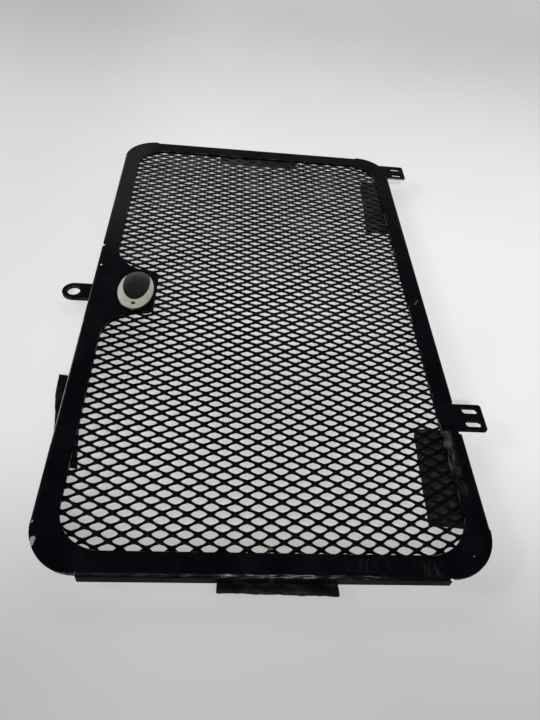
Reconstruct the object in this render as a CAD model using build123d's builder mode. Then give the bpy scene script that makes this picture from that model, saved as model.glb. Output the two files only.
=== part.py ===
from build123d import *
import math
import os

# Radiator guard for a motorcycle: a folded sheet frame, a mesh panel behind it, a badge and foam pads.
# It lies front up on its pads, with X across the guard, Y along it and Z up. Sizes are in mm.

# Frame sheet
sheet = 1.5
frame_width = 189.4  # over the flat corners
frame_length = 319.6
corner_radius = 21.0
lip_outset = 0.4  # the lips stand this far outside the corners
bend_radius = 0.5  # inside of each bend
lip_height = 6.5  # from the front face to the lip's lower edge
side_band = 10.1  # from the frame's edge to the window
lower_band = 9.4
upper_band = 11.2
window_radius = 19.0

# Gap between the two lips of the left side
notch_y = 39.0
notch_width = 4.0

# Bolt ear, bent out from the lower edge of the left lip
ear_y = 1.0
ear_width = 12.6
ear_hole_out = 10.2  # from the lip's outer face to the hole
ear_hole_diameter = 7.0
ear_relief = 0.8  # slit on each side of its bend

# Flat tabs for cable ties on the right side
tab_lower_end = 79.8  # from the frame's lower edge to the tab's middle
tab_upper_end = 16.3  # from the frame's upper edge
tab_height = 15.7
tab_length = 13.1  # beyond the lips
tab_corner_radius = 1.4
tab_relief = 2.2  # gap between a tab and the lip beside it
slot_length = 8.1
slot_width = 3.4
slot_spacing = 7.9
slot_edge = 2.2  # from the slot's end to the tab's end

# Badge
badge_width = 20.0
badge_length = 31.0
badge_thickness = 2.2  # at its crown
badge_rim = 0.7  # height of its edge
badge_slope = 3.0  # width of the gentle slope round its crown
badge_bevel = 1.0  # width of the steeper slope outside that
badge_y = -2.2
badge_hole_diameter = 2.2
badge_hole_edge = 4.5  # from the badge's lower end to the hole's middle

# Lobe of the left side, which carries the badge
lobe_root_gap = 4.2  # from the window's edge to the badge
lobe_tip_gap = 1.0  # from the badge to the lobe's tip
lobe_side_gap = 0.5  # beyond each end of the badge, at the tip
lobe_flare = 3.7  # each side widens by this much towards the root
lobe_rise = 0.8  # its middle, above the badge's middle
lobe_tip_radius = 4.0
lobe_root_radius = 20.0

# Mesh of two crossing families of strands, bonded where they lie behind the band
mesh_long_pitch = 10.0
mesh_short_pitch = 6.0
strand_width = 1.3
strand_thickness = 0.7
bond_thickness = 0.05
bond_length = 1.2
bond_width = 0.7
mesh_clearance = 1.0  # from the bend lines to the mesh's edge
mesh_x = 1.3  # middle of one opening, from the frame's middle
mesh_y = -1.1

# Foam pads, cut by hand from one strip
pad_width = 12.0
pad_thickness = 7.5
pad_clearance = 0.3  # from the inner face of a lip
left_pad_length = 52.0
left_pad_in = 2.1  # its middle, inside the lip's outer face
left_pad_end = 75.3  # from the frame's lower edge to its middle
left_pad_tilt = 8.2
bottom_pad_length = 49.0
bottom_pad_x = 4.1
bottom_pad_overhang = 2.4  # beyond the lip's outer face
top_pad_length = 56.7
top_pad_x = 0.2
top_pad_overhang = 7.0
right_pad_tilt = -3.0
right_lower_pad_length = 48.6
right_lower_pad_in = 15.1  # its middle, inside the lip's outer face
right_lower_pad_end = 50.5  # from the frame's lower edge to its middle
right_upper_pad_length = 49.0
right_upper_pad_in = 13.4
right_upper_pad_end = 54.8  # from the frame's upper edge to its middle

# Levels above the surface that the pads rest on
mesh_back = pad_thickness
mesh_middle = mesh_back + strand_thickness
mesh_front = mesh_middle + bond_thickness + strand_thickness
face_back = mesh_front
face_front = face_back + sheet
lip_bottom = face_front - lip_height

# Distances from the frame's middle
bend_outer = bend_radius + sheet
fold_x = frame_width / 2 + lip_outset
fold_y = frame_length / 2 + lip_outset
bend_x = fold_x - bend_outer
bend_y = fold_y - bend_outer
straight_x = frame_width / 2 - corner_radius
straight_y = frame_length / 2 - corner_radius
window_x = frame_width / 2 - side_band
window_length = frame_length - lower_band - upper_band
window_y = (lower_band - upper_band) / 2
lower_edge = -frame_length / 2
upper_edge = frame_length / 2
tab_lower_y = lower_edge + tab_lower_end
tab_upper_y = upper_edge - tab_upper_end
lobe_y = badge_y + lobe_rise
lobe_reach = lobe_root_gap + badge_width + lobe_tip_gap
lobe_tip_height = badge_length + 2 * lobe_side_gap
lobe_root_height = lobe_tip_height + 2 * lobe_flare
ear_reach = fold_x + ear_hole_out + ear_width / 2
tab_reach = fold_x + tab_length
bottom_pad_reach = fold_y + bottom_pad_overhang
top_pad_reach = fold_y + top_pad_overhang

# The origin is under the middle of the whole guard, and the frame's middle lies beside it
middle = Vector((ear_reach - tab_reach) / 2, (bottom_pad_reach - top_pad_reach) / 2, 0)
base = Plane(middle)
up = Vector(0, 0, 1)

os.makedirs("parts", exist_ok=True)

# Frame
tab_rows = (tab_lower_y, tab_upper_y)
tab_slot_x = tab_reach - slot_edge - slot_length / 2
# The ends of each lip along its bend line, going round with the frame on the left hand
lips = [
    (Vector(-straight_x, -bend_y), Vector(straight_x, -bend_y)),
    (Vector(bend_x, -straight_y), Vector(bend_x, tab_lower_y - tab_height / 2 - tab_relief)),
    (
        Vector(bend_x, tab_lower_y + tab_height / 2 + tab_relief),
        Vector(bend_x, tab_upper_y - tab_height / 2 - tab_relief),
    ),
    (Vector(straight_x, bend_y), Vector(-straight_x, bend_y)),
    (Vector(-bend_x, straight_y), Vector(-bend_x, notch_y + notch_width / 2)),
    (Vector(-bend_x, notch_y - notch_width / 2), Vector(-bend_x, -straight_y)),
]


def near_lobe(corner):
    return abs(corner.Y - lobe_y) < lobe_root_height


with BuildPart() as guard_frame:
    # Flat sheet, cut back to the bend lines along its straight sides
    with BuildSketch(base.offset(face_back)):
        RectangleRounded(frame_width, frame_length, corner_radius)
        with Locations((-frame_width / 2, 0), (frame_width / 2, 0)):
            Rectangle(frame_width - 2 * bend_x, 2 * straight_y, mode=Mode.SUBTRACT)
        with Locations((0, -frame_length / 2), (0, frame_length / 2)):
            Rectangle(2 * straight_x, frame_length - 2 * bend_y, mode=Mode.SUBTRACT)
        for tab_y in tab_rows:
            with Locations(((window_x + tab_reach) / 2, tab_y)):
                RectangleRounded(tab_reach - window_x, tab_height, tab_corner_radius)
            with Locations((tab_slot_x, tab_y)):
                with GridLocations(1, slot_spacing, 1, 2):
                    SlotOverall(slot_length, slot_width, mode=Mode.SUBTRACT)
    extrude(amount=sheet)

    # Window, which leaves the lobe standing on the left side
    with BuildSketch(base.offset(face_back)) as window:
        with Locations((0, window_y)):
            RectangleRounded(2 * window_x, window_length, window_radius)
        with BuildLine():
            Polyline(
                (-window_x, lobe_y - lobe_root_height / 2),
                (-window_x + lobe_reach, lobe_y - lobe_tip_height / 2),
                (-window_x + lobe_reach, lobe_y + lobe_tip_height / 2),
                (-window_x, lobe_y + lobe_root_height / 2),
                close=True,
            )
        make_face(mode=Mode.SUBTRACT)
        fillet(window.vertices().filter_by(near_lobe).group_by(Axis.X)[0], lobe_root_radius)
        fillet(window.vertices().filter_by(near_lobe).group_by(Axis.X)[-1], lobe_tip_radius)
    extrude(amount=sheet, mode=Mode.SUBTRACT)

    # Lips: in each section x points out from the frame and y points down
    for start, end in lips:
        along = (end - start).normalized()
        corner = start + middle + up * face_front
        with BuildSketch(Plane(corner, x_dir=along.cross(up), z_dir=along)):
            with BuildLine():
                outside = CenterArc((0, bend_outer), bend_outer, -90, 90)
                inside = CenterArc((0, bend_outer), bend_radius, -90, 90)
                Polyline(outside @ 1, (bend_outer, lip_height), (bend_radius, lip_height), inside @ 1)
                Line(outside @ 0, inside @ 0)
            make_face()
        extrude(amount=(end - start).length)

    # Ear: the lip is cleared for its bend, then the bend and the flat are added
    with BuildSketch(base.offset(lip_bottom)):
        with Locations((-fold_x, ear_y)):
            Rectangle(2 * sheet, ear_width + 2 * ear_relief)
    extrude(amount=bend_outer, mode=Mode.SUBTRACT)
    ear_start = Vector(-fold_x - bend_radius, ear_y + ear_width / 2, lip_bottom + bend_outer)
    with BuildSketch(Plane(ear_start + middle, x_dir=(-1, 0, 0), z_dir=(0, -1, 0))):
        Circle(bend_outer)
        Circle(bend_radius, mode=Mode.SUBTRACT)
        Rectangle(bend_outer, bend_outer, align=(Align.MAX, Align.MIN), mode=Mode.INTERSECT)
    extrude(amount=ear_width)
    with BuildSketch(base.offset(lip_bottom)):
        with Locations((-fold_x - ear_hole_out, ear_y)):
            Circle(ear_width / 2)
            Rectangle(ear_hole_out - bend_radius, ear_width, align=(Align.MIN, Align.CENTER))
            Circle(ear_hole_diameter / 2, mode=Mode.SUBTRACT)
    extrude(amount=sheet)
guard_frame.part.label = "guard_frame"
export_step(guard_frame.part, "parts/guard_frame.step")

# Mesh: the strands are cut to one outline behind the band, and the two families are a bond apart
mesh_width = 2 * (bend_x - mesh_clearance)
mesh_length = 2 * (bend_y - mesh_clearance)
mesh_radius = corner_radius - (frame_width - mesh_width) / 2
strand_angle = math.degrees(math.atan2(mesh_short_pitch, mesh_long_pitch))
strand_spacing = mesh_long_pitch * math.sin(math.radians(strand_angle))
strand_length = math.hypot(mesh_width, mesh_length) + mesh_long_pitch
strand_count = 2 * math.ceil(strand_length / 2 / strand_spacing)


def behind_band(x, y):
    inside_mesh = abs(x) < mesh_width / 2 - bond_length and abs(y) < mesh_length / 2 - bond_length
    return inside_mesh and (abs(x) > window_x or abs(y - window_y) > window_length / 2)


columns = math.ceil(mesh_width / mesh_long_pitch) + 1
rows = math.ceil(mesh_length / mesh_short_pitch) + 1
crossings = [
    (mesh_x + i * mesh_long_pitch / 2, mesh_y + j * mesh_short_pitch / 2)
    for i in range(-columns, columns + 1)
    for j in range(-rows, rows + 1)
    if (i + j) % 2 == 1
]
bonds = [spot for spot in crossings if behind_band(*spot)]

with BuildPart() as mesh_panel:
    for level, turn in ((mesh_back, strand_angle), (mesh_middle + bond_thickness, -strand_angle)):
        with BuildSketch(base.offset(level)):
            with Locations(Location((mesh_x, mesh_y, 0), (0, 0, turn))):
                with GridLocations(1, strand_spacing, 1, strand_count):
                    Rectangle(strand_length, strand_width)
            RectangleRounded(mesh_width, mesh_length, mesh_radius, mode=Mode.INTERSECT)
    extrude(amount=strand_thickness)
    with BuildSketch(base.offset(mesh_middle)):
        with Locations(*bonds):
            Rectangle(bond_length, bond_width)
        RectangleRounded(mesh_width, mesh_length, mesh_radius, mode=Mode.INTERSECT)
    extrude(amount=bond_thickness)
    # Offcuts at the corners that no bond holds fall away
    add(mesh_panel.solids().sort_by(SortBy.VOLUME)[-1], mode=Mode.REPLACE)
mesh_panel.part.label = "mesh_panel"
export_step(mesh_panel.part, "parts/mesh_panel.step")

# Badge: an oval that falls from its crown in two slopes, with one small hole near its lower end
badge_x = -window_x + lobe_root_gap + badge_width / 2
badge_hole_y = badge_y - badge_length / 2 + badge_hole_edge
slope_drop = (badge_thickness - badge_rim) / 2
with BuildPart() as badge:
    with BuildSketch(base.offset(face_front)):
        with Locations((badge_x, badge_y)):
            Ellipse(badge_width / 2, badge_length / 2)
    extrude(amount=badge_thickness)
    crown = badge.faces().sort_by(Axis.Z)[-1]
    chamfer(crown.edges(), badge_slope, slope_drop, reference=crown)
    side = badge.faces().filter_by(GeomType.EXTRUSION)[0]
    chamfer(side.edges().group_by(Axis.Z)[-1], slope_drop, badge_bevel, reference=side)
    with BuildSketch(base.offset(face_front)):
        with Locations((badge_x, badge_hole_y)):
            Circle(badge_hole_diameter / 2)
    extrude(amount=badge_thickness, mode=Mode.SUBTRACT)
badge.part.label = "badge"
export_step(badge.part, "parts/badge.step")

# Pads: middle, length and turn of each, with a rebate where a lip's edge sits in the foam
pads = {
    "foam_pad_left": (
        -fold_x + left_pad_in,
        lower_edge + left_pad_end,
        left_pad_length,
        90 + left_pad_tilt,
    ),
    "foam_pad_bottom": (bottom_pad_x, pad_width / 2 - bottom_pad_reach, bottom_pad_length, 0),
    "foam_pad_top": (top_pad_x, top_pad_reach - pad_width / 2, top_pad_length, 0),
    "foam_pad_right_lower": (
        fold_x - right_lower_pad_in,
        lower_edge + right_lower_pad_end,
        right_lower_pad_length,
        90 + right_pad_tilt,
    ),
    "foam_pad_right_upper": (
        fold_x - right_upper_pad_in,
        upper_edge - right_upper_pad_end,
        right_upper_pad_length,
        90 + right_pad_tilt,
    ),
}
lip_inner_x = fold_x - sheet
lip_inner_y = fold_y - sheet
for name, (pad_x, pad_y, pad_length, turn) in pads.items():
    with BuildPart() as pad:
        with BuildSketch(base):
            with Locations(Location((pad_x, pad_y, 0), (0, 0, turn))):
                Rectangle(pad_length, pad_width)
        extrude(amount=pad_thickness)
        with BuildSketch(base.offset(lip_bottom)):
            Rectangle(2 * frame_width, 2 * frame_length)
            Rectangle(
                2 * (lip_inner_x - pad_clearance),
                2 * (lip_inner_y - pad_clearance),
                mode=Mode.SUBTRACT,
            )
        extrude(amount=pad_thickness, mode=Mode.SUBTRACT)
    pad.part.label = name
    export_step(pad.part, f"parts/{name}.step")
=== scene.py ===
import math

import bpy
import numpy as np
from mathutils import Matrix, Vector


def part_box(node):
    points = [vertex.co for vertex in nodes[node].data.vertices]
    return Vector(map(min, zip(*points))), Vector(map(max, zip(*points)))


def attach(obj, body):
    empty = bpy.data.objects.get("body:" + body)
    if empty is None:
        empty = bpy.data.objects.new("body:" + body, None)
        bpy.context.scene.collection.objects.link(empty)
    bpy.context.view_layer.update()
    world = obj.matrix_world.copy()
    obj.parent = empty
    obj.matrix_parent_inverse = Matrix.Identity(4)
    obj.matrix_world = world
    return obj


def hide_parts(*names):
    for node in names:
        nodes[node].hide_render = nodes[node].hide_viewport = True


# Radiator guard: finishes, expanded mesh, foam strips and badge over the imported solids
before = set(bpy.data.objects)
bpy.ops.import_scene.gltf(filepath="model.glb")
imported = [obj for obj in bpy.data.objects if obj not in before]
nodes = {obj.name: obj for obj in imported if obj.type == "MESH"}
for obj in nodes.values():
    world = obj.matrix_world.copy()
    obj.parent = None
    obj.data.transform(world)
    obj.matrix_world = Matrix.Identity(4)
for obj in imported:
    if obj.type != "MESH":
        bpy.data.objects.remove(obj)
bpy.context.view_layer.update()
scene = bpy.context.scene
scene.view_settings.view_transform = "Standard"
rng = np.random.default_rng(11)
mm = 0.001  # sizes in the dictionaries are in mm
boxes = {name: [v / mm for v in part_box(name)] for name in nodes}  # lowest and highest corner, in mm
panelLow, panelHigh = boxes["mesh_panel"]
panelMiddle, panelHalf = (panelLow + panelHigh) / 2, (panelHigh - panelLow) / 2
print("solids loaded:", ", ".join(sorted(nodes)))


def inMetres(values):
    return [v * mm for v in values]


def feed(tree, socket, value):  # links a socket, or sets a plain value
    if isinstance(value, bpy.types.NodeSocket):
        tree.links.new(value, socket)
    else:
        socket.default_value = value


def addNode(tree, kind, settings=None, **inputs):
    node = tree.nodes.new(kind)
    for name, value in (settings or {}).items():
        setattr(node, name, value)
    for name, value in inputs.items():
        feed(tree, node.inputs[name.replace("_", " ")], value)
    return node


def doMath(tree, operation, *values, clamp=False):
    node = addNode(tree, "ShaderNodeMath", {"operation": operation, "use_clamp": clamp})
    for socket, value in zip(node.inputs, values):
        feed(tree, socket, value)
    return node.outputs[0]


def doVector(tree, operation, *values, output="Vector"):
    node = addNode(tree, "ShaderNodeVectorMath", {"operation": operation})
    sockets = [node.inputs[0], node.inputs["Scale"]] if operation == "SCALE" else node.inputs
    for socket, value in zip(sockets, values):
        feed(tree, socket, value)
    return node.outputs[output]


def addNoise(tree, place, scale, detail, roughness=0.5):
    node = addNode(
        tree, "ShaderNodeTexNoise", Vector=place, Scale=scale, Detail=detail, Roughness=roughness,
    )
    return node.outputs["Fac"]


def ramp(tree, value, low, high, floor=0.0, top=1.0):  # smooth step from floor to top
    node = addNode(
        tree, "ShaderNodeMapRange", {"interpolation_type": "SMOOTHSTEP"},
        Value=value, From_Min=low, From_Max=high, To_Min=floor, To_Max=top,
    )
    return node.outputs["Result"]


def mixColour(tree, mask, below, above, blend="MIX"):
    node = addNode(tree, "ShaderNodeMix", {"data_type": "RGBA", "blend_type": blend})
    for index, value in ((0, mask), (6, below), (7, above)):  # the mix node's colour sockets
        isColour = isinstance(value, (tuple, list))
        feed(tree, node.inputs[index], (*value, 1.0) if isColour else value)
    return node.outputs[2]


def newGroup(name, inputs, outputs):  # inputs: name, kind and starting value; outputs: name and kind
    tree = bpy.data.node_groups.new(name, "ShaderNodeTree")
    for socketName, kind, value in inputs:
        socket = tree.interface.new_socket(socketName, in_out="INPUT", socket_type="NodeSocket" + kind)
        if value is not None:
            socket.default_value = value
    for socketName, kind in outputs:
        tree.interface.new_socket(socketName, in_out="OUTPUT", socket_type="NodeSocket" + kind)
    return tree, tree.nodes.new("NodeGroupInput").outputs, tree.nodes.new("NodeGroupOutput").inputs


def useGroup(tree, group, **inputs):
    return addNode(tree, "ShaderNodeGroup", {"node_tree": group}, **inputs).outputs


def newMaterial(name):
    material = bpy.data.materials.new(name)
    material.use_nodes = True
    tree = material.node_tree
    place = tree.nodes.new("ShaderNodeTexCoord").outputs["Object"]  # every piece has its origin at zero
    return material, tree, tree.nodes["Principled BSDF"], place


def addBump(tree, shader, height, strength, depth):
    bump = addNode(tree, "ShaderNodeBump", Height=height, Strength=strength, Distance=depth * mm)
    tree.links.new(bump.outputs["Normal"], shader.inputs["Normal"])


def newPiece(name, verts, faces, sharpAngle):  # verts in metres
    data = bpy.data.meshes.new(name)
    data.from_pydata(verts, [], faces)
    data.polygons.foreach_set("use_smooth", [True] * len(data.polygons))
    data.set_sharp_from_angle(angle=math.radians(sharpAngle))
    data.validate()
    piece = bpy.data.objects.new(name, data)
    scene.collection.objects.link(piece)
    return piece


# Fine pebble of a baked powder coat, and slow patches in its sheen
powderGrain, gIn, gOut = newGroup(
    "powderGrain",
    [("Place", "Vector", None), ("Size", "Float", 0.5)],
    [("Height", "Float"), ("Patches", "Float")],
)
pebbleScale = doMath(powderGrain, "DIVIDE", 1000.0, gIn["Size"])  # size in mm to waves a metre
pebble = addNoise(powderGrain, gIn["Place"], pebbleScale, detail=2.0)
patch = addNoise(powderGrain, gIn["Place"], scale=70.0, detail=5.0, roughness=0.6)
powderGrain.links.new(pebble, gOut["Height"])
powderGrain.links.new(ramp(powderGrain, patch, 0.3, 0.7), gOut["Patches"])

# Coat rubbed off along outside edges, broken up by noise
edgeWear, gIn, gOut = newGroup(
    "edgeWear",
    [("Place", "Vector", None), ("Reach", "Float", 0.0005), ("Amount", "Float", 0.5)],
    [("Mask", "Float")],
)
rounded = addNode(edgeWear, "ShaderNodeBevel", {"samples": 6}, Radius=gIn["Reach"]).outputs[0]
facing = addNode(edgeWear, "ShaderNodeNewGeometry").outputs["Normal"]
turned = doVector(edgeWear, "DOT_PRODUCT", rounded, facing, output="Value")
edge = ramp(edgeWear, doMath(edgeWear, "SUBTRACT", 1.0, turned), 0.04, 0.25)
patchy = addNoise(edgeWear, gIn["Place"], scale=110.0, detail=6.0, roughness=0.65)
least = doMath(edgeWear, "MULTIPLY", doMath(edgeWear, "SUBTRACT", 1.0, gIn["Amount"]), 0.6)
kept = ramp(edgeWear, doMath(edgeWear, "SUBTRACT", patchy, least), 0.1, 0.22)
edgeWear.links.new(doMath(edgeWear, "MULTIPLY", edge, kept), gOut["Mask"])

# Dust in clouds on what faces up
dustFilm, gIn, gOut = newGroup(
    "dustFilm",
    [("Place", "Vector", None), ("Amount", "Float", 0.3)],
    [("Mask", "Float")],
)
facing = addNode(dustFilm, "ShaderNodeNewGeometry").outputs["Normal"]
upward = addNode(dustFilm, "ShaderNodeSeparateXYZ", Vector=facing).outputs["Z"]
cloud = addNoise(dustFilm, gIn["Place"], scale=45.0, detail=8.0, roughness=0.7)
cloud = ramp(dustFilm, cloud, 0.42, 0.75)
lying = doMath(dustFilm, "MULTIPLY", ramp(dustFilm, upward, 0.2, 0.9), cloud)
dustFilm.links.new(doMath(dustFilm, "MULTIPLY", lying, gIn["Amount"]), gOut["Mask"])

# One scratch, chip, stain or painted highlight: a line from start to end with a ragged side
lineMark, gIn, gOut = newGroup(
    "lineMark",
    [
        ("Place", "Vector", None),
        ("Start", "Vector", (0, 0, 0)),
        ("End", "Vector", (0, 0, 0)),
        ("Width", "Float", 0.001),
        ("Break", "Float", 0.3),
    ],
    [("Mask", "Float")],
)
fromStart = doVector(lineMark, "SUBTRACT", gIn["Place"], gIn["Start"])
span = doVector(lineMark, "SUBTRACT", gIn["End"], gIn["Start"])
along = doVector(lineMark, "DOT_PRODUCT", fromStart, span, output="Value")
wholeSpan = doVector(lineMark, "DOT_PRODUCT", span, span, output="Value")
wholeSpan = doMath(lineMark, "ADD", wholeSpan, 1e-9)  # a dot has no length to divide by
share = doMath(lineMark, "DIVIDE", along, wholeSpan, clamp=True)
nearest = doVector(lineMark, "SCALE", span, share)
away = doVector(lineMark, "DISTANCE", fromStart, nearest, output="Value")
swing = doMath(lineMark, "SUBTRACT", addNoise(lineMark, gIn["Place"], scale=900.0, detail=3.0), 0.5)
most = doMath(lineMark, "MULTIPLY", gIn["Break"], 4.0)  # the side moves by up to twice the break
rough = doMath(lineMark, "MULTIPLY", swing, most)
reach = doMath(lineMark, "ADD", doMath(lineMark, "DIVIDE", away, gIn["Width"]), rough)
lineMark.links.new(ramp(lineMark, reach, 0.55, 0.3), gOut["Mask"])

# A rubbed patch, also drawn as a painted highlight along a fold: fine streaks along its way, which fade
# out at its ends and sides
rubAndSheenStreaks, gIn, gOut = newGroup(
    "rubAndSheenStreaks",
    [
        ("Place", "Vector", None),
        ("Start", "Vector", (0, 0, 0)),
        ("End", "Vector", (0, 0, 0)),
        ("Width", "Float", 0.002),
    ],
    [("Mask", "Float")],
)
fromStart = doVector(rubAndSheenStreaks, "SUBTRACT", gIn["Place"], gIn["Start"])
span = doVector(rubAndSheenStreaks, "SUBTRACT", gIn["End"], gIn["Start"])
spanWay = doVector(rubAndSheenStreaks, "NORMALIZE", span)
along = doVector(rubAndSheenStreaks, "DOT_PRODUCT", fromStart, spanWay, output="Value")
sideWay = doVector(rubAndSheenStreaks, "CROSS_PRODUCT", spanWay, (0, 0, 1))
side = doVector(rubAndSheenStreaks, "DOT_PRODUCT", fromStart, sideWay, output="Value")
share = doMath(rubAndSheenStreaks, "DIVIDE", along, doVector(rubAndSheenStreaks, "LENGTH", span, output="Value"))
sideShare = doMath(rubAndSheenStreaks, "DIVIDE", doMath(rubAndSheenStreaks, "ABSOLUTE", side), gIn["Width"])
streakPlace = addNode(
    rubAndSheenStreaks, "ShaderNodeCombineXYZ",  # waves a metre, long ones along the way and short ones across
    X=doMath(rubAndSheenStreaks, "MULTIPLY", along, 170.0), Y=doMath(rubAndSheenStreaks, "MULTIPLY", side, 2300.0),
).outputs[0]
mask = ramp(rubAndSheenStreaks, addNoise(rubAndSheenStreaks, streakPlace, scale=1.0, detail=3.0), 0.46, 0.72)
clumps = addNoise(rubAndSheenStreaks, gIn["Place"], scale=130.0, detail=2.0)
for fade in (
    ramp(rubAndSheenStreaks, sideShare, 1.0, 0.3),
    ramp(rubAndSheenStreaks, clumps, 0.38, 0.62, 0.25, 1.0),
    ramp(rubAndSheenStreaks, share, 0.0, 0.07),
    ramp(rubAndSheenStreaks, share, 1.0, 0.35),
):
    mask = doMath(rubAndSheenStreaks, "MULTIPLY", mask, fade)
rubAndSheenStreaks.links.new(mask, gOut["Mask"])
print("finish groups made")


# Frame: satin blue-black powder coat with chips and scuffs, a painted sheen on the left band and painted
# highlights along some folds
frameCoat = {
    "colour": (0.0011, 0.0015, 0.0024),
    "sheen": (0.36, 0.5),  # roughness, from patch to patch
    "specular": 0.015,
    "pebble": 0.55,
    "pebbleBump": (0.12, 0.05),  # strength and depth
    "bare": (0.2, 0.2, 0.195),
    "edge": 0.36,
    "edgeReach": 0.35,
    "dust": (0.1, 0.095, 0.085),
    "dustAmount": 0.025,
    "dustDulls": 0.8,  # added to the roughness
    "paintedSheen": (0.0078, 0.0093, 0.0098),  # painted sheen: a lighter tone on the upper half of the left band, in place of the coat's reflection of the room
    "paintedSheenUp": (15, 85),
    "paintedSheenAcross": (-84, -68),
    "marks": {  # start, end, width, break, colour, strength
        "cornerChip": ((-90.6, -150.7, 10.2), (-90.3, -148.4, 10.4), 2.2, 0.08, (0.2, 0.2, 0.19), 0.9),
        "cornerSpeck": ((-92.4, -141.6, 10.4), (-92.2, -141.0, 10.4), 0.9, 0.2, (0.2, 0.2, 0.19), 0.7),
        "leftSpot": ((-90.9, 16.1, 10.4), (-90.7, 16.3, 10.4), 1.1, 0.1, (0.5, 0.5, 0.48), 0.9),
        "notchEdge": ((-93.2, 35.6, 8.5), (-92.0, 34.4, 10.4), 1.4, 0.2, (0.45, 0.45, 0.43), 0.9),
        "lipEndChip": ((74.9, -162.3, 9.6), (75.6, -162.3, 8.6), 1.5, 0.2, (0.5, 0.5, 0.48), 0.9),
        "rightScratch": ((90.6, -2.4, 10.4), (92.8, 1.0, 10.4), 0.5, 0.5, (0.14, 0.14, 0.14), 0.5),
        "cornerDot": ((86.0, -152.9, 10.4), (86.1, -152.8, 10.4), 0.6, 0.1, (0.2, 0.2, 0.19), 0.7),
        "brownStain": ((-81.6, -117.5, 10.4), (-80.6, -115.0, 10.4), 1.8, 0.6, (0.04, 0.024, 0.014), 0.5),
        # painted highlights: light lines along the left fold, where its curve catches the light
        "earRootPaintedHighlight": ((-93.2, -3.0, 9.7), (-93.2, -15.0, 9.7), 1.1, 0.2, (0.16, 0.16, 0.155), 0.6),
        "leftFoldPaintedHighlight": ((-93.2, -28.0, 9.6), (-93.2, -104.0, 9.6), 1.2, 0.25, (0.26, 0.26, 0.25), 0.65),
        "tabEdgeLine": ((98.0, 133.2, 9.3), (109.0, 133.2, 9.3), 1.4, 0.15, (0.3, 0.3, 0.29), 0.8),
    },
    "rubsAndHighlights": {  # rubbed streaks and painted highlights: start, end, half the width, colour, strength
        "bandScuff": ((87.2, -90.0, 10.4), (89.6, -133.0, 10.4), 3.4, (0.16, 0.16, 0.155), 0.4),
        "bandScuffTop": ((88.4, -90.5, 10.4), (88.4, -104.0, 10.4), 3.0, (0.2, 0.2, 0.195), 0.45),
        # along the front fold: rubbed coat with a painted highlight, and a faint run that is only painted
        # highlight where the fold catches the light
        "foldRubAndHighlight": ((-22.0, -161.8, 10.2), (60.0, -161.8, 10.2), 0.75, (0.4, 0.4, 0.39), 0.85),
        "foldPaintedHighlight": ((-80.0, -161.8, 10.2), (60.0, -161.8, 10.2), 0.7, (0.2, 0.2, 0.195), 0.18),
        "goldRub": ((65.5, -161.5, 10.4), (66.5, -154.0, 10.4), 7.5, (0.11, 0.1, 0.075), 0.36),
        "bottomRub": ((46.0, -161.0, 10.4), (47.0, -150.0, 10.4), 20.0, (0.05, 0.05, 0.05), 0.2),
    },
}
coat, tree, shader, place = newMaterial("frameCoat")
grain = useGroup(tree, powderGrain, Place=place, Size=frameCoat["pebble"])
worn = useGroup(
    tree, edgeWear, Place=place, Reach=frameCoat["edgeReach"] * mm, Amount=frameCoat["edge"],
)["Mask"]
dusted = useGroup(tree, dustFilm, Place=place, Amount=frameCoat["dustAmount"])["Mask"]
spread = addNode(tree, "ShaderNodeSeparateXYZ", Vector=place).outputs
# painted sheen: the upper half of the left band is made lighter where the coat would reflect the room
paintedSheenUp = ramp(tree, spread["Y"], *inMetres(frameCoat["paintedSheenUp"]))
paintedSheenAcross = ramp(tree, spread["X"], *inMetres(frameCoat["paintedSheenAcross"]), 1.0, 0.0)
paintedSheenMask = doMath(tree, "MULTIPLY", paintedSheenUp, paintedSheenAcross)
colour = mixColour(tree, paintedSheenMask, frameCoat["colour"], frameCoat["paintedSheen"])
colour = mixColour(tree, dusted, colour, frameCoat["dust"])
colour = mixColour(tree, worn, colour, frameCoat["bare"])
for start, end, width, broken, markColour, strength in frameCoat["marks"].values():
    mark = useGroup(
        tree, lineMark, Place=place, Width=width * mm, Break=broken,
        Start=inMetres(start), End=inMetres(end),
    )["Mask"]
    colour = mixColour(tree, doMath(tree, "MULTIPLY", mark, strength), colour, markColour)
for start, end, width, streakColour, strength in frameCoat["rubsAndHighlights"].values():
    streakMask = useGroup(
        tree, rubAndSheenStreaks, Place=place, Width=width * mm, Start=inMetres(start), End=inMetres(end),
    )["Mask"]
    colour = mixColour(tree, doMath(tree, "MULTIPLY", streakMask, strength), colour, streakColour)
tree.links.new(colour, shader.inputs["Base Color"])
sheen = ramp(tree, grain["Patches"], 0.0, 1.0, *frameCoat["sheen"])
dulled = doMath(tree, "MULTIPLY", dusted, frameCoat["dustDulls"])
tree.links.new(doMath(tree, "ADD", sheen, dulled, clamp=True), shader.inputs["Roughness"])
shader.inputs["Specular IOR Level"].default_value = frameCoat["specular"]
addBump(tree, shader, grain["Height"], *frameCoat["pebbleBump"])
nodes["guard_frame"].data.materials.clear()
nodes["guard_frame"].data.materials.append(coat)
print("frame coat done, marks:", len(frameCoat["marks"]) + len(frameCoat["rubsAndHighlights"]))


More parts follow.
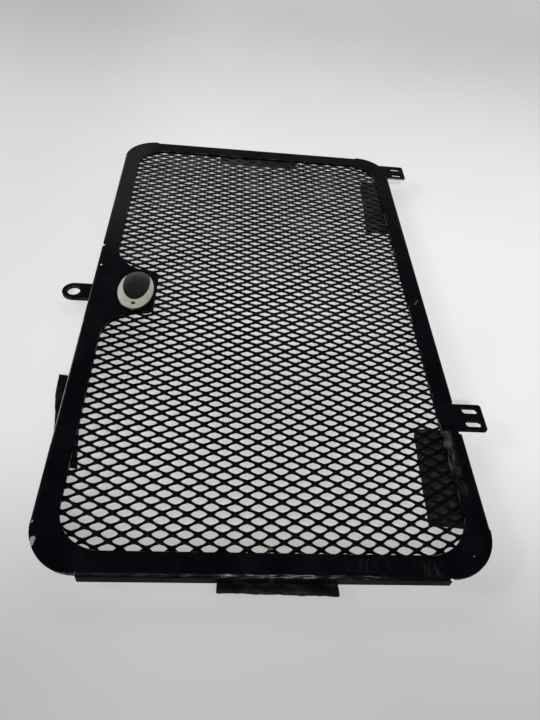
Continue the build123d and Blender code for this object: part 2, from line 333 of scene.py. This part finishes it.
# Expanded mesh: rows of zigzag strands, tilted as the press leaves them and joined at the bonds
expandedMesh = {
    "longPitch": 10.0,
    "shortPitch": 6.0,
    "strand": 1.1,  # width of one strand in the middle of a bond
    "lens": 1.9,  # 1 gives straight-sided diamonds, more gives rounder openings
    "sheet": 0.6,
    "tilt": 25.0,  # degrees about the long way
    "bond": 1.5,  # half the length of a bond
    "opening": (1.3, -1.1),  # middle of one opening, from the panel's middle
    "rise": 0.0077,  # rows climb to the right
    "corner": 18.4,
    "bevel": 0.14,
    "unevenness": 0.05,
    "sharpAngle": 50.0,
    "colour": (0.0016, 0.0017, 0.0019),
    "upperColour": (0.0115, 0.0115, 0.011),  # paler towards the top: partly an even film of dust, partly painted sheen on the far strands
    "upperRise": (-60, 150),
    "sheen": (0.34, 0.5),
    "specular": 0.025,
    "pebble": 0.4,
    "pebbleBump": (0.15, 0.04),
    "bare": (0.3, 0.3, 0.29),
    "edge": 0.12,
    "edgeReach": 0.15,
    "dust": (0.2, 0.195, 0.175),
    "dustAmount": 0.06,
    "dustRise": (-100, 150),  # more dust towards the top
    "dustShares": (0.15, 2.5),
    "rust": (0.09, 0.04, 0.02),
    "rustBreak": 0.8,
    "rustSpots": [  # start, end, width
        ((-0.4, -152.6, 8.6), (2.2, -150.2, 8.6), 1.8),
        ((36.6, -150.6, 8.6), (38.0, -149.2, 8.6), 1.6),
    ],
}


def makeExpandedMesh(spec):
    stepX, stepY = spec["longPitch"] / 2, spec["shortPitch"] / 2
    columns = int(panelHalf.x / stepX) + 3
    rows = int(panelHalf.y / stepY) + 3
    tilt = math.radians(spec["tilt"])
    widthWay = np.array((0, math.cos(tilt), math.sin(tilt)))
    thickWay = np.array((0, -math.sin(tilt), math.cos(tilt)))
    thick, bevel, bond = spec["sheet"] / 2, spec["bevel"], spec["bond"]
    plan = spec["strand"] * math.cos(tilt)  # a strand's width as seen from the front
    uneven = rng.normal(0, spec["unevenness"], (2 * columns + 2, 2 * rows + 4, 3))

    def edgeAt(distance):  # side of a strand, from the middle line of the bond that it leaves
        return plan + (stepY - plan) * min(distance / (stepX - bond), 1) ** spec["lens"]

    verts, faces = [], []
    corners = 6  # of a strand's section
    for row in range(-rows, rows):
        path = []  # point, lower and upper side, share towards the upper bond
        for column in range(-columns, columns):
            knots = []
            for i in (column, column + 1):
                isUpper = (i + row) % 2 == 0
                j = row + 1 if isUpper else row
                spot = np.array((spec["opening"][0] + i * stepX, spec["opening"][1] + j * stepY, 0.0))
                knots.append((spot + uneven[i + columns, j + rows], isUpper))
            (a, startsUpper), (b, _) = knots
            low, high = (b, a) if startsUpper else (a, b)
            for along in (0, bond, stepX / 2, stepX - bond):
                distance = stepX - along if startsUpper else along
                share = min(max((distance - bond) / (stepX - 2 * bond), 0), 1)
                point = low + (high - low) * share
                point[0] = a[0] + (b[0] - a[0]) * along / stepX
                lower = stepY * (1 - share) - edgeAt(stepX - distance)
                upper = edgeAt(distance) - stepY * share
                path.append((point, lower / math.cos(tilt), upper / math.cos(tilt), share))
        points = np.array([step[0] for step in path])
        points[:, 1] += spec["rise"] * points[:, 0]
        outside = np.maximum(np.abs(points[:, :2]) - (np.array(panelHalf)[:2] - spec["corner"]), 0)
        inside = np.hypot(*outside.T) < spec["corner"]
        run = []
        for n in range(len(points) + 1):
            if n < len(points) and inside[n]:
                run.append(n)
                continue
            if len(run) > 2:  # one strip of strands, from cut to cut
                ring = []
                for k in run:
                    lower, upper, share = path[k][1:]
                    lowBevel = 0.0 if share == 0 else bevel
                    highBevel = 0.0 if share == 1 else bevel
                    section = (
                        (lower, -thick),
                        (upper, -thick),
                        (upper, thick - highBevel),
                        (upper - highBevel, thick),
                        (lower + lowBevel, thick),
                        (lower, thick - lowBevel),
                    )
                    ring.append(len(verts))
                    verts.extend(points[k] + widthWay * u + thickWay * v for u, v in section)
                for a, b in zip(ring, ring[1:]):
                    for c in range(corners):
                        d = (c + 1) % corners
                        faces.append((a + c, a + d, b + d, b + c))
                faces.append([ring[0] + c for c in reversed(range(corners))])
                faces.append([ring[-1] + c for c in range(corners)])
            run = []
    verts = [(v + np.array(panelMiddle)) * mm for v in verts]
    return newPiece("expandedMesh", verts, faces, spec["sharpAngle"])


panel = makeExpandedMesh(expandedMesh)
coat, tree, shader, place = newMaterial("meshCoat")
grain = useGroup(tree, powderGrain, Place=place, Size=expandedMesh["pebble"])
worn = useGroup(
    tree, edgeWear, Place=place, Reach=expandedMesh["edgeReach"] * mm, Amount=expandedMesh["edge"],
)["Mask"]
dusted = useGroup(tree, dustFilm, Place=place, Amount=expandedMesh["dustAmount"])["Mask"]
upGuard = addNode(tree, "ShaderNodeSeparateXYZ", Vector=place).outputs["Y"]
dustShare = ramp(tree, upGuard, *inMetres(expandedMesh["dustRise"]), *expandedMesh["dustShares"])
dusted = doMath(tree, "MULTIPLY", dusted, dustShare)
# paler towards the top of the mesh: partly dust, partly painted sheen
dustAndSheenUpward = ramp(tree, upGuard, *inMetres(expandedMesh["upperRise"]))
colour = mixColour(tree, dustAndSheenUpward, expandedMesh["colour"], expandedMesh["upperColour"])
colour = mixColour(tree, dusted, colour, expandedMesh["dust"])
colour = mixColour(tree, worn, colour, expandedMesh["bare"])
for start, end, width in expandedMesh["rustSpots"]:
    spot = useGroup(
        tree, lineMark, Place=place, Width=width * mm, Break=expandedMesh["rustBreak"],
        Start=inMetres(start), End=inMetres(end),
    )["Mask"]
    colour = mixColour(tree, spot, colour, expandedMesh["rust"])
tree.links.new(colour, shader.inputs["Base Color"])
sheen = ramp(tree, grain["Patches"], 0.0, 1.0, *expandedMesh["sheen"])
tree.links.new(sheen, shader.inputs["Roughness"])
shader.inputs["Specular IOR Level"].default_value = expandedMesh["specular"]
addBump(tree, shader, grain["Height"], *expandedMesh["pebbleBump"])
panel.data.materials.append(coat)
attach(panel, "root")
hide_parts("mesh_panel")
panel.data.calc_loop_triangles()
print("expanded mesh done, triangles:", len(panel.data.loop_triangles))


# Foam strips: cut by hand, squeezed under the lips and against the mesh
foamStrips = {
    "strips": {  # grow: past its solid at the start, end, low and high side; taper: high side pulled in
        "foam_pad_left": {
            "turn": 98.2, "cuts": (3.0, 2.8), "grow": (0, -1.6, 0, 0), "taper": (1.9, 1.5),
            "soil": 0.6, "fill": 0.7,
        },
        "foam_pad_bottom": {
            "turn": -1.2, "cuts": (0.3, -0.8), "grow": (0, 0, 1.3, 0), "taper": (0, 0),
            "soil": 0.65, "fill": 0.7,
        },
        "foam_pad_top": {
            "turn": 0.0, "cuts": (-0.4, 0.6), "grow": (0, 0, 0, 0), "taper": (0, 0),
            "soil": 0.3, "fill": 0.7,
        },
        "foam_pad_right_lower": {
            "turn": 87.0, "cuts": (0.6, -0.4), "grow": (0, 0, 2.4, 0.9), "taper": (0, 0),
            "soil": 0.1, "fill": 0.8,
        },
        "foam_pad_right_upper": {
            "turn": 87.0, "cuts": (-0.5, 0.4), "grow": (0, 4, 1.0, 1.2), "taper": (0, 0),
            "soil": 0.85, "fill": 0.8,
        },
    },
    "lipOut": 3.0,  # the lip's outside, past the panel's edge
    "sheet": 1.5,
    "lipGap": 0.6,
    "squeezed": 3.85,  # height under a lip
    "swell": 0.5,  # rise where the foam comes out from under it
    "swellFrom": 2.6,
    "swellOver": 2.0,
    "imprint": 0.42,
    "ragged": 0.1,
    "waves": [(1.0, 19, 0, 1.3), (0.6, 47, 4, 0), (0.4, 83, 9, 0)],  # size, along, across, shift
    "taperFrom": 0.8,  # share of the length where the far taper starts
    "sideBulge": 0.35,
    "sideInset": 0.3,
    "edgeDrop": 0.25,
    "along": 80,
    "across": 24,
    "sideLevels": (0.75, 0.5, 0.25),
    "sharpAngle": 40.0,
    "colour": (0.0075, 0.0077, 0.0067),
    "pale": (0.026, 0.026, 0.0225),
    "soiled": (0.0024, 0.0021, 0.0016),
    "cell": 0.9,
    "fibres": 0.8,  # their share in the bump, beside the cells
    "pitBump": (0.6, 0.3),
    "dust": (0.1, 0.088, 0.07),
    "dustAmount": 0.05,
    "roughness": 0.95,
    "specular": 0.05,
}


def foamTop(x, y, full):  # height of the foam's top at a place from the panel's middle
    frameLow, frameHigh = boxes["guard_frame"]
    lipInside = foamStrips["sheet"] + foamStrips["lipGap"]
    lipX = panelHalf.x + foamStrips["lipOut"]
    lipY = (frameHigh.y - frameLow.y) / 2
    past = max(abs(x) - (lipX - lipInside), abs(y) - (lipY - lipInside))
    if past < 0:  # pressed by the bonds of the mesh, bulging into its openings
        longWay = math.pi * (x - expandedMesh["opening"][0]) / (expandedMesh["longPitch"] / 2)
        shortWay = math.pi * (y - expandedMesh["opening"][1]) / (expandedMesh["shortPitch"] / 2)
        return full + foamStrips["imprint"] * (math.cos(longWay) * math.cos(shortWay) - 0.5)
    free = min(max(past - foamStrips["swellFrom"], 0) / foamStrips["swellOver"], 1)
    return foamStrips["squeezed"] + foamStrips["swell"] * free * free * (3 - 2 * free)


def makeFoamStrip(name, spec):
    low, high = boxes[name]
    centre, size = (low + high) / 2, high - low
    turn = math.radians(spec["turn"])
    c, s = abs(math.cos(turn)), abs(math.sin(turn))
    long = (size.x * c - size.y * s) / (c * c - s * s)
    wide = (size.y * c - size.x * s) / (c * c - s * s)
    before, after, below, above = spec["grow"]
    nearTaper, farTaper = spec["taper"]
    along, across = foamStrips["along"], foamStrips["across"]
    taperFrom = foamStrips["taperFrom"]
    verts, faces = [], []

    def addPoint(a, b, level):  # a along and b across, each from 0 to 1, and level from floor to top
        endCut = spec["cuts"][0] * b * (1 - a) + spec["cuts"][1] * b * a
        u = (a - 0.5) * long + endCut + after * a - before * (1 - a)
        v = (b - 0.5) * wide + above * b - below * (1 - b)
        v -= b * (nearTaper * (1 - a) + farTaper * max((a - taperFrom) / (1 - taperFrom), 0))
        waver = sum(swing * math.sin(p * a + q * b + shift) for swing, p, q, shift in foamStrips["waves"])
        v += foamStrips["ragged"] * waver * (2 * b - 1) ** 3
        isEnd, isSide = a in (0, 1), b in (0, 1)
        bulge = foamStrips["sideBulge"] * math.sin(math.pi * level) - foamStrips["sideInset"]
        u += bulge * (2 * a - 1) * isEnd
        v += bulge * (2 * b - 1) * isSide
        x = centre.x + u * math.cos(turn) - v * math.sin(turn)
        y = centre.y + u * math.sin(turn) + v * math.cos(turn)
        top = foamTop(x - panelMiddle.x, y - panelMiddle.y, size.z)
        top -= foamStrips["edgeDrop"] * (isEnd or isSide)
        verts.append((x * mm, y * mm, level * top * mm))

    for level in (1.0, 0.0):
        for i in range(along + 1):
            for j in range(across + 1):
                addPoint(i / along, j / across, level)
    count = (along + 1) * (across + 1)
    for i in range(along):
        for j in range(across):
            k = i * (across + 1) + j
            quad = (k, k + across + 1, k + across + 2, k + 1)
            faces.append(quad)
            faces.append([q + count for q in reversed(quad)])
    border = [(i, 0) for i in range(along)] + [(along, j) for j in range(across)]
    border += [(i, across) for i in range(along, 0, -1)] + [(0, j) for j in range(across, 0, -1)]
    rings = [[i * (across + 1) + j for i, j in border]]
    for level in foamStrips["sideLevels"]:
        rings.append(list(range(len(verts), len(verts) + len(border))))
        for i, j in border:
            addPoint(i / along, j / across, level)
    rings.append([k + count for k in rings[0]])
    for upper, lower in zip(rings, rings[1:]):
        for k in range(len(border)):
            n = (k + 1) % len(border)
            faces.append((upper[k], lower[k], lower[n], upper[n]))
    return newPiece(name + "_strip", verts, faces, foamStrips["sharpAngle"])


def makeFoam(name, soil):  # soil: share of the foam that is dark with dirt
    foam, tree, shader, place = newMaterial(name)
    cells = addNode(tree, "ShaderNodeTexVoronoi", Vector=place, Scale=1000.0 / foamStrips["cell"])
    fibres = addNoise(tree, place, scale=260.0, detail=6.0, roughness=0.7)
    smears = addNoise(tree, place, scale=90.0, detail=4.0, roughness=0.6)
    dusted = useGroup(tree, dustFilm, Place=place, Amount=foamStrips["dustAmount"])["Mask"]
    colour = mixColour(tree, ramp(tree, fibres, 0.35, 0.7), foamStrips["colour"], foamStrips["pale"])
    colour = mixColour(tree, dusted, colour, foamStrips["dust"])
    soilFrom = 0.7 - 0.6 * soil  # the smears that count as soil
    soiled = ramp(tree, smears, soilFrom, soilFrom + 0.3)
    colour = mixColour(tree, soiled, colour, foamStrips["soiled"])
    tree.links.new(colour, shader.inputs["Base Color"])
    shader.inputs["Roughness"].default_value = foamStrips["roughness"]
    shader.inputs["Specular IOR Level"].default_value = foamStrips["specular"]
    fibreHeight = doMath(tree, "MULTIPLY", fibres, foamStrips["fibres"])
    pits = doMath(tree, "ADD", cells.outputs["Distance"], fibreHeight)
    addBump(tree, shader, pits, *foamStrips["pitBump"])
    return foam


for name, spec in foamStrips["strips"].items():
    strip = makeFoamStrip(name, spec)
    strip.data.materials.append(makeFoam(name + "_foam", spec["soil"]))
    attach(strip, "root")
    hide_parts(name)
print("foam strips done:", len(foamStrips["strips"]))


# Badge: domed resin oval with a dark plain field on a pale ground, and a small hole near its lower end
badgeDome = {
    "rimHeight": 0.7,
    "crown": 3.0,  # higher is flatter in the middle
    "hole": (0.0, -11.0),  # place from the middle
    "holeRadius": 1.1,
    "holeFloor": 0.2,
    "holeSlope": (1.12, 0.24),  # where the wall starts and how wide it is, in radii
    "holeEdge": (1.1, 0.95),  # where its dark colour starts and is full, in radii
    "rings": 80,
    "around": 240,
    "sharpAngle": 60.0,
    "face": (0.275, 0.275, 0.228),
    "shade": (0.18, 0.18, 0.145),
    "flakeColour": (0.6, 0.6, 0.56),
    "flake": 0.35,
    "flakeMost": 0.12,
    "field": (0.004, 0.0042, 0.004),
    "fieldPlace": (0.0, 0.29),  # in shares of the half sizes
    "fieldHalf": (0.73, 0.86),
    "fieldEdge": (1.02, 0.98),
    "rim": (0.004, 0.004, 0.004),
    "rimStart": 0.955,
    "rimSoft": 0.02,
    "dust": (0.3, 0.29, 0.26),
    "dustAmount": 0.015,
    "sheen": (0.25, 0.4),
    "specular": 0.1,
    "coat": 0.35,
    "coatRoughness": 0.08,
}
badgeLow, badgeHigh = boxes["badge"]
badgeMiddle, badgeHalf = (badgeLow + badgeHigh) / 2, (badgeHigh - badgeLow) / 2


def makeBadgeDome(spec):
    rings, around = spec["rings"], spec["around"]
    base, top = badgeLow.z, badgeHigh.z
    shoulder = base + spec["rimHeight"]
    wallStart, wallWidth = spec["holeSlope"]
    verts, faces = [(badgeMiddle.x, badgeMiddle.y, top)], []
    for i in range(1, rings + 1):
        r = math.sin(math.pi / 2 * i / rings)  # closer together near the rim
        level = shoulder + (top - shoulder) * math.sqrt(max(1 - r ** spec["crown"], 0))
        for j in range(around):
            angle = 2 * math.pi * j / around
            x, y = badgeHalf.x * r * math.cos(angle), badgeHalf.y * r * math.sin(angle)
            fromHole = math.hypot(x - spec["hole"][0], y - spec["hole"][1]) / spec["holeRadius"]
            sunk = min(max((wallStart - fromHole) / wallWidth, 0), 1)
            z = level + (base + spec["holeFloor"] - level) * sunk
            verts.append((badgeMiddle.x + x, badgeMiddle.y + y, z))
    verts.extend((x, y, base) for x, y, z in verts[-around:])
    faces.extend((0, 1 + j, 1 + (j + 1) % around) for j in range(around))
    for i in range(rings):
        for j in range(around):
            k, n = 1 + i * around + j, 1 + i * around + (j + 1) % around
            faces.append((k, k + around, n + around, n))
    faces.append(list(range(len(verts) - 1, len(verts) - around - 1, -1)))
    return newPiece("badgeDome", [inMetres(v) for v in verts], faces, spec["sharpAngle"])


badge = makeBadgeDome(badgeDome)
resin, tree, shader, place = newMaterial("badgeResin")
middle, half = badgeMiddle * mm, badgeHalf * mm
flat = 1e6  # divides the height away
fromMiddle = doVector(tree, "SUBTRACT", place, (middle.x, middle.y, 0))
oval = doVector(tree, "DIVIDE", fromMiddle, (half.x, half.y, flat))
outward = doVector(tree, "LENGTH", oval, output="Value")
fieldOval = doVector(tree, "SUBTRACT", oval, (*badgeDome["fieldPlace"], 0))
fieldOval = doVector(tree, "DIVIDE", fieldOval, (*badgeDome["fieldHalf"], flat))
inField = ramp(tree, doVector(tree, "LENGTH", fieldOval, output="Value"), *badgeDome["fieldEdge"])
inPlan = doVector(tree, "MULTIPLY", fromMiddle, (1, 1, 0))
fromHole = doVector(tree, "DISTANCE", inPlan, inMetres((*badgeDome["hole"], 0)), output="Value")
holeEdge = [v * badgeDome["holeRadius"] * mm for v in badgeDome["holeEdge"]]
inHole = ramp(tree, fromHole, *holeEdge)
flakes = addNode(tree, "ShaderNodeTexVoronoi", Vector=place, Scale=1000.0 / badgeDome["flake"])
flakes = ramp(tree, flakes.outputs["Distance"], 0.2, 0.7, 0.0, badgeDome["flakeMost"])
cloudy = addNoise(tree, place, scale=160.0, detail=4.0)
atRim = ramp(tree, outward, badgeDome["rimStart"], badgeDome["rimStart"] + badgeDome["rimSoft"])
dusted = useGroup(tree, dustFilm, Place=place, Amount=badgeDome["dustAmount"])["Mask"]
colour = mixColour(tree, ramp(tree, cloudy, 0.3, 0.75), badgeDome["face"], badgeDome["shade"])
for mask, layer in (
    (flakes, "flakeColour"),
    (inField, "field"),
    (inHole, "rim"),
    (atRim, "rim"),
    (dusted, "dust"),
):
    colour = mixColour(tree, mask, colour, badgeDome[layer])
tree.links.new(colour, shader.inputs["Base Color"])
tree.links.new(ramp(tree, cloudy, 0.3, 0.8, *badgeDome["sheen"]), shader.inputs["Roughness"])
shader.inputs["Specular IOR Level"].default_value = badgeDome["specular"]
shader.inputs["Coat Weight"].default_value = badgeDome["coat"]
shader.inputs["Coat Roughness"].default_value = badgeDome["coatRoughness"]
badge.data.materials.append(resin)
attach(badge, "root")
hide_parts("badge")
print("badge done")


# Pale table with painted shade towards the front, back and left, soft light from over the viewer's head,
# a weaker light from the left, a window behind
studio = {
    "floor": (0.78, 0.78, 0.765),
    "smudge": 0.97,
    "halfTable": 4000,
    "shades": [  # painted shade in place of the fall of light: axis, start, end, share of the tone that is left at the end
        ("Y", -80, -210, 0.61),
        ("Y", 10, 520, 0.58),
        ("X", -20, -170, 0.86),
    ],
    "roughness": 0.7,
    "ownTone": 0.6,  # share of the table's tone that the shadows leave as it is
    "overhead": 0.03,
    "horizon": 0.95,
    "skyBand": (0.44, 0.7),  # height where the low sky gives way to the ceiling
    "front": {"from": (-0.09, -0.72, 0.69), "strength": 2.5, "spread": 9.0},
    "left": {"from": (-0.87, 0.12, 0.47), "strength": 1.3, "spread": 16.0},
    "back": {"place": (-330, 1280, 780), "power": 16.0, "size": (2000, 700)},
}
tableHalf = studio["halfTable"] * mm
floorData = bpy.data.meshes.new("table")
floorCorners = [(x * tableHalf, y * tableHalf, 0) for x, y in ((-1, -1), (1, -1), (1, 1), (-1, 1))]
floorData.from_pydata(floorCorners, [], [(0, 1, 2, 3)])
table = bpy.data.objects.new("table", floorData)
scene.collection.objects.link(table)
tableTop, tree, shader, place = newMaterial("tableTop")
smudged = ramp(tree, addNoise(tree, place, scale=6.0, detail=4.0), 0.3, 0.7)
colour = mixColour(tree, smudged, studio["floor"], [v * studio["smudge"] for v in studio["floor"]])
spread = addNode(tree, "ShaderNodeSeparateXYZ", Vector=place).outputs
# painted shade: the table's tone darkens towards the front, back and left
for axis, start, end, share in studio["shades"]:
    if start < end:
        shade = ramp(tree, spread[axis], start * mm, end * mm)
    else:
        shade = ramp(tree, spread[axis], end * mm, start * mm, 1.0, 0.0)
    colour = mixColour(tree, shade, colour, (share, share, share), blend="MULTIPLY")
tree.links.new(colour, shader.inputs["Base Color"])
shader.inputs["Roughness"].default_value = studio["roughness"]
shader.inputs["Specular IOR Level"].default_value = 0.0
rays = tree.nodes.new("ShaderNodeLightPath").outputs
seen = doMath(tree, "MAXIMUM", rays["Is Camera Ray"], rays["Is Glossy Ray"])
seen = doMath(tree, "MAXIMUM", seen, rays["Is Transmission Ray"])
ownTone = addNode(tree, "ShaderNodeEmission", Color=colour).outputs[0]
blend = tree.nodes.new("ShaderNodeMixShader")
tree.links.new(doMath(tree, "MULTIPLY", seen, studio["ownTone"]), blend.inputs[0])
tree.links.new(shader.outputs[0], blend.inputs[1])
tree.links.new(ownTone, blend.inputs[2])
tree.links.new(blend.outputs[0], tree.nodes["Material Output"].inputs["Surface"])
floorData.materials.append(tableTop)

room = bpy.data.worlds.new("room")
room.use_nodes = True
sky = room.node_tree
skyPlace = sky.nodes.new("ShaderNodeTexCoord").outputs["Generated"]
height = addNode(sky, "ShaderNodeSeparateXYZ", Vector=skyPlace).outputs["Z"]
glow = ramp(sky, height, *studio["skyBand"], studio["horizon"], studio["overhead"])
sky.links.new(glow, sky.nodes["Background"].inputs["Strength"])
sky.nodes["Background"].inputs["Color"].default_value = (1, 1, 1, 1)
scene.world = room


def addLamp(lamp, comesFrom):  # shines towards the guard
    lampObject = bpy.data.objects.new(lamp.name, lamp)
    lampObject.rotation_euler = Vector(comesFrom).to_track_quat("Z", "Y").to_euler()
    scene.collection.objects.link(lampObject)
    return lampObject


for lampName in ("front", "left"):
    lamp = bpy.data.lights.new(lampName + "Lamp", "SUN")
    lamp.energy = studio[lampName]["strength"]
    lamp.angle = math.radians(studio[lampName]["spread"])
    addLamp(lamp, studio[lampName]["from"])
lamp = bpy.data.lights.new("backLamp", "AREA")
lamp.energy = studio["back"]["power"]
lamp.shape = "RECTANGLE"
lamp.size, lamp.size_y = inMetres(studio["back"]["size"])
window = addLamp(lamp, studio["back"]["place"])
window.location = inMetres(studio["back"]["place"])
window.visible_glossy = False  # the low sky is what the coat mirrors

viewpoint = {
    "place": (-22.8, -247.0, 232.8),
    "turn": (41.384, -5.706, -1.523),
    "lens": 29.06,
    "sensor": 36.0,
    "nearClip": 10,
}
cameraData = bpy.data.cameras.new("camera")
cameraData.lens = viewpoint["lens"]
cameraData.sensor_width = viewpoint["sensor"]
cameraData.clip_start = viewpoint["nearClip"] * mm
camera = bpy.data.objects.new("camera", cameraData)
camera.location = inMetres(viewpoint["place"])
camera.rotation_euler = [math.radians(v) for v in viewpoint["turn"]]
scene.collection.objects.link(camera)
scene.camera = camera
print("table, lamps and camera done")
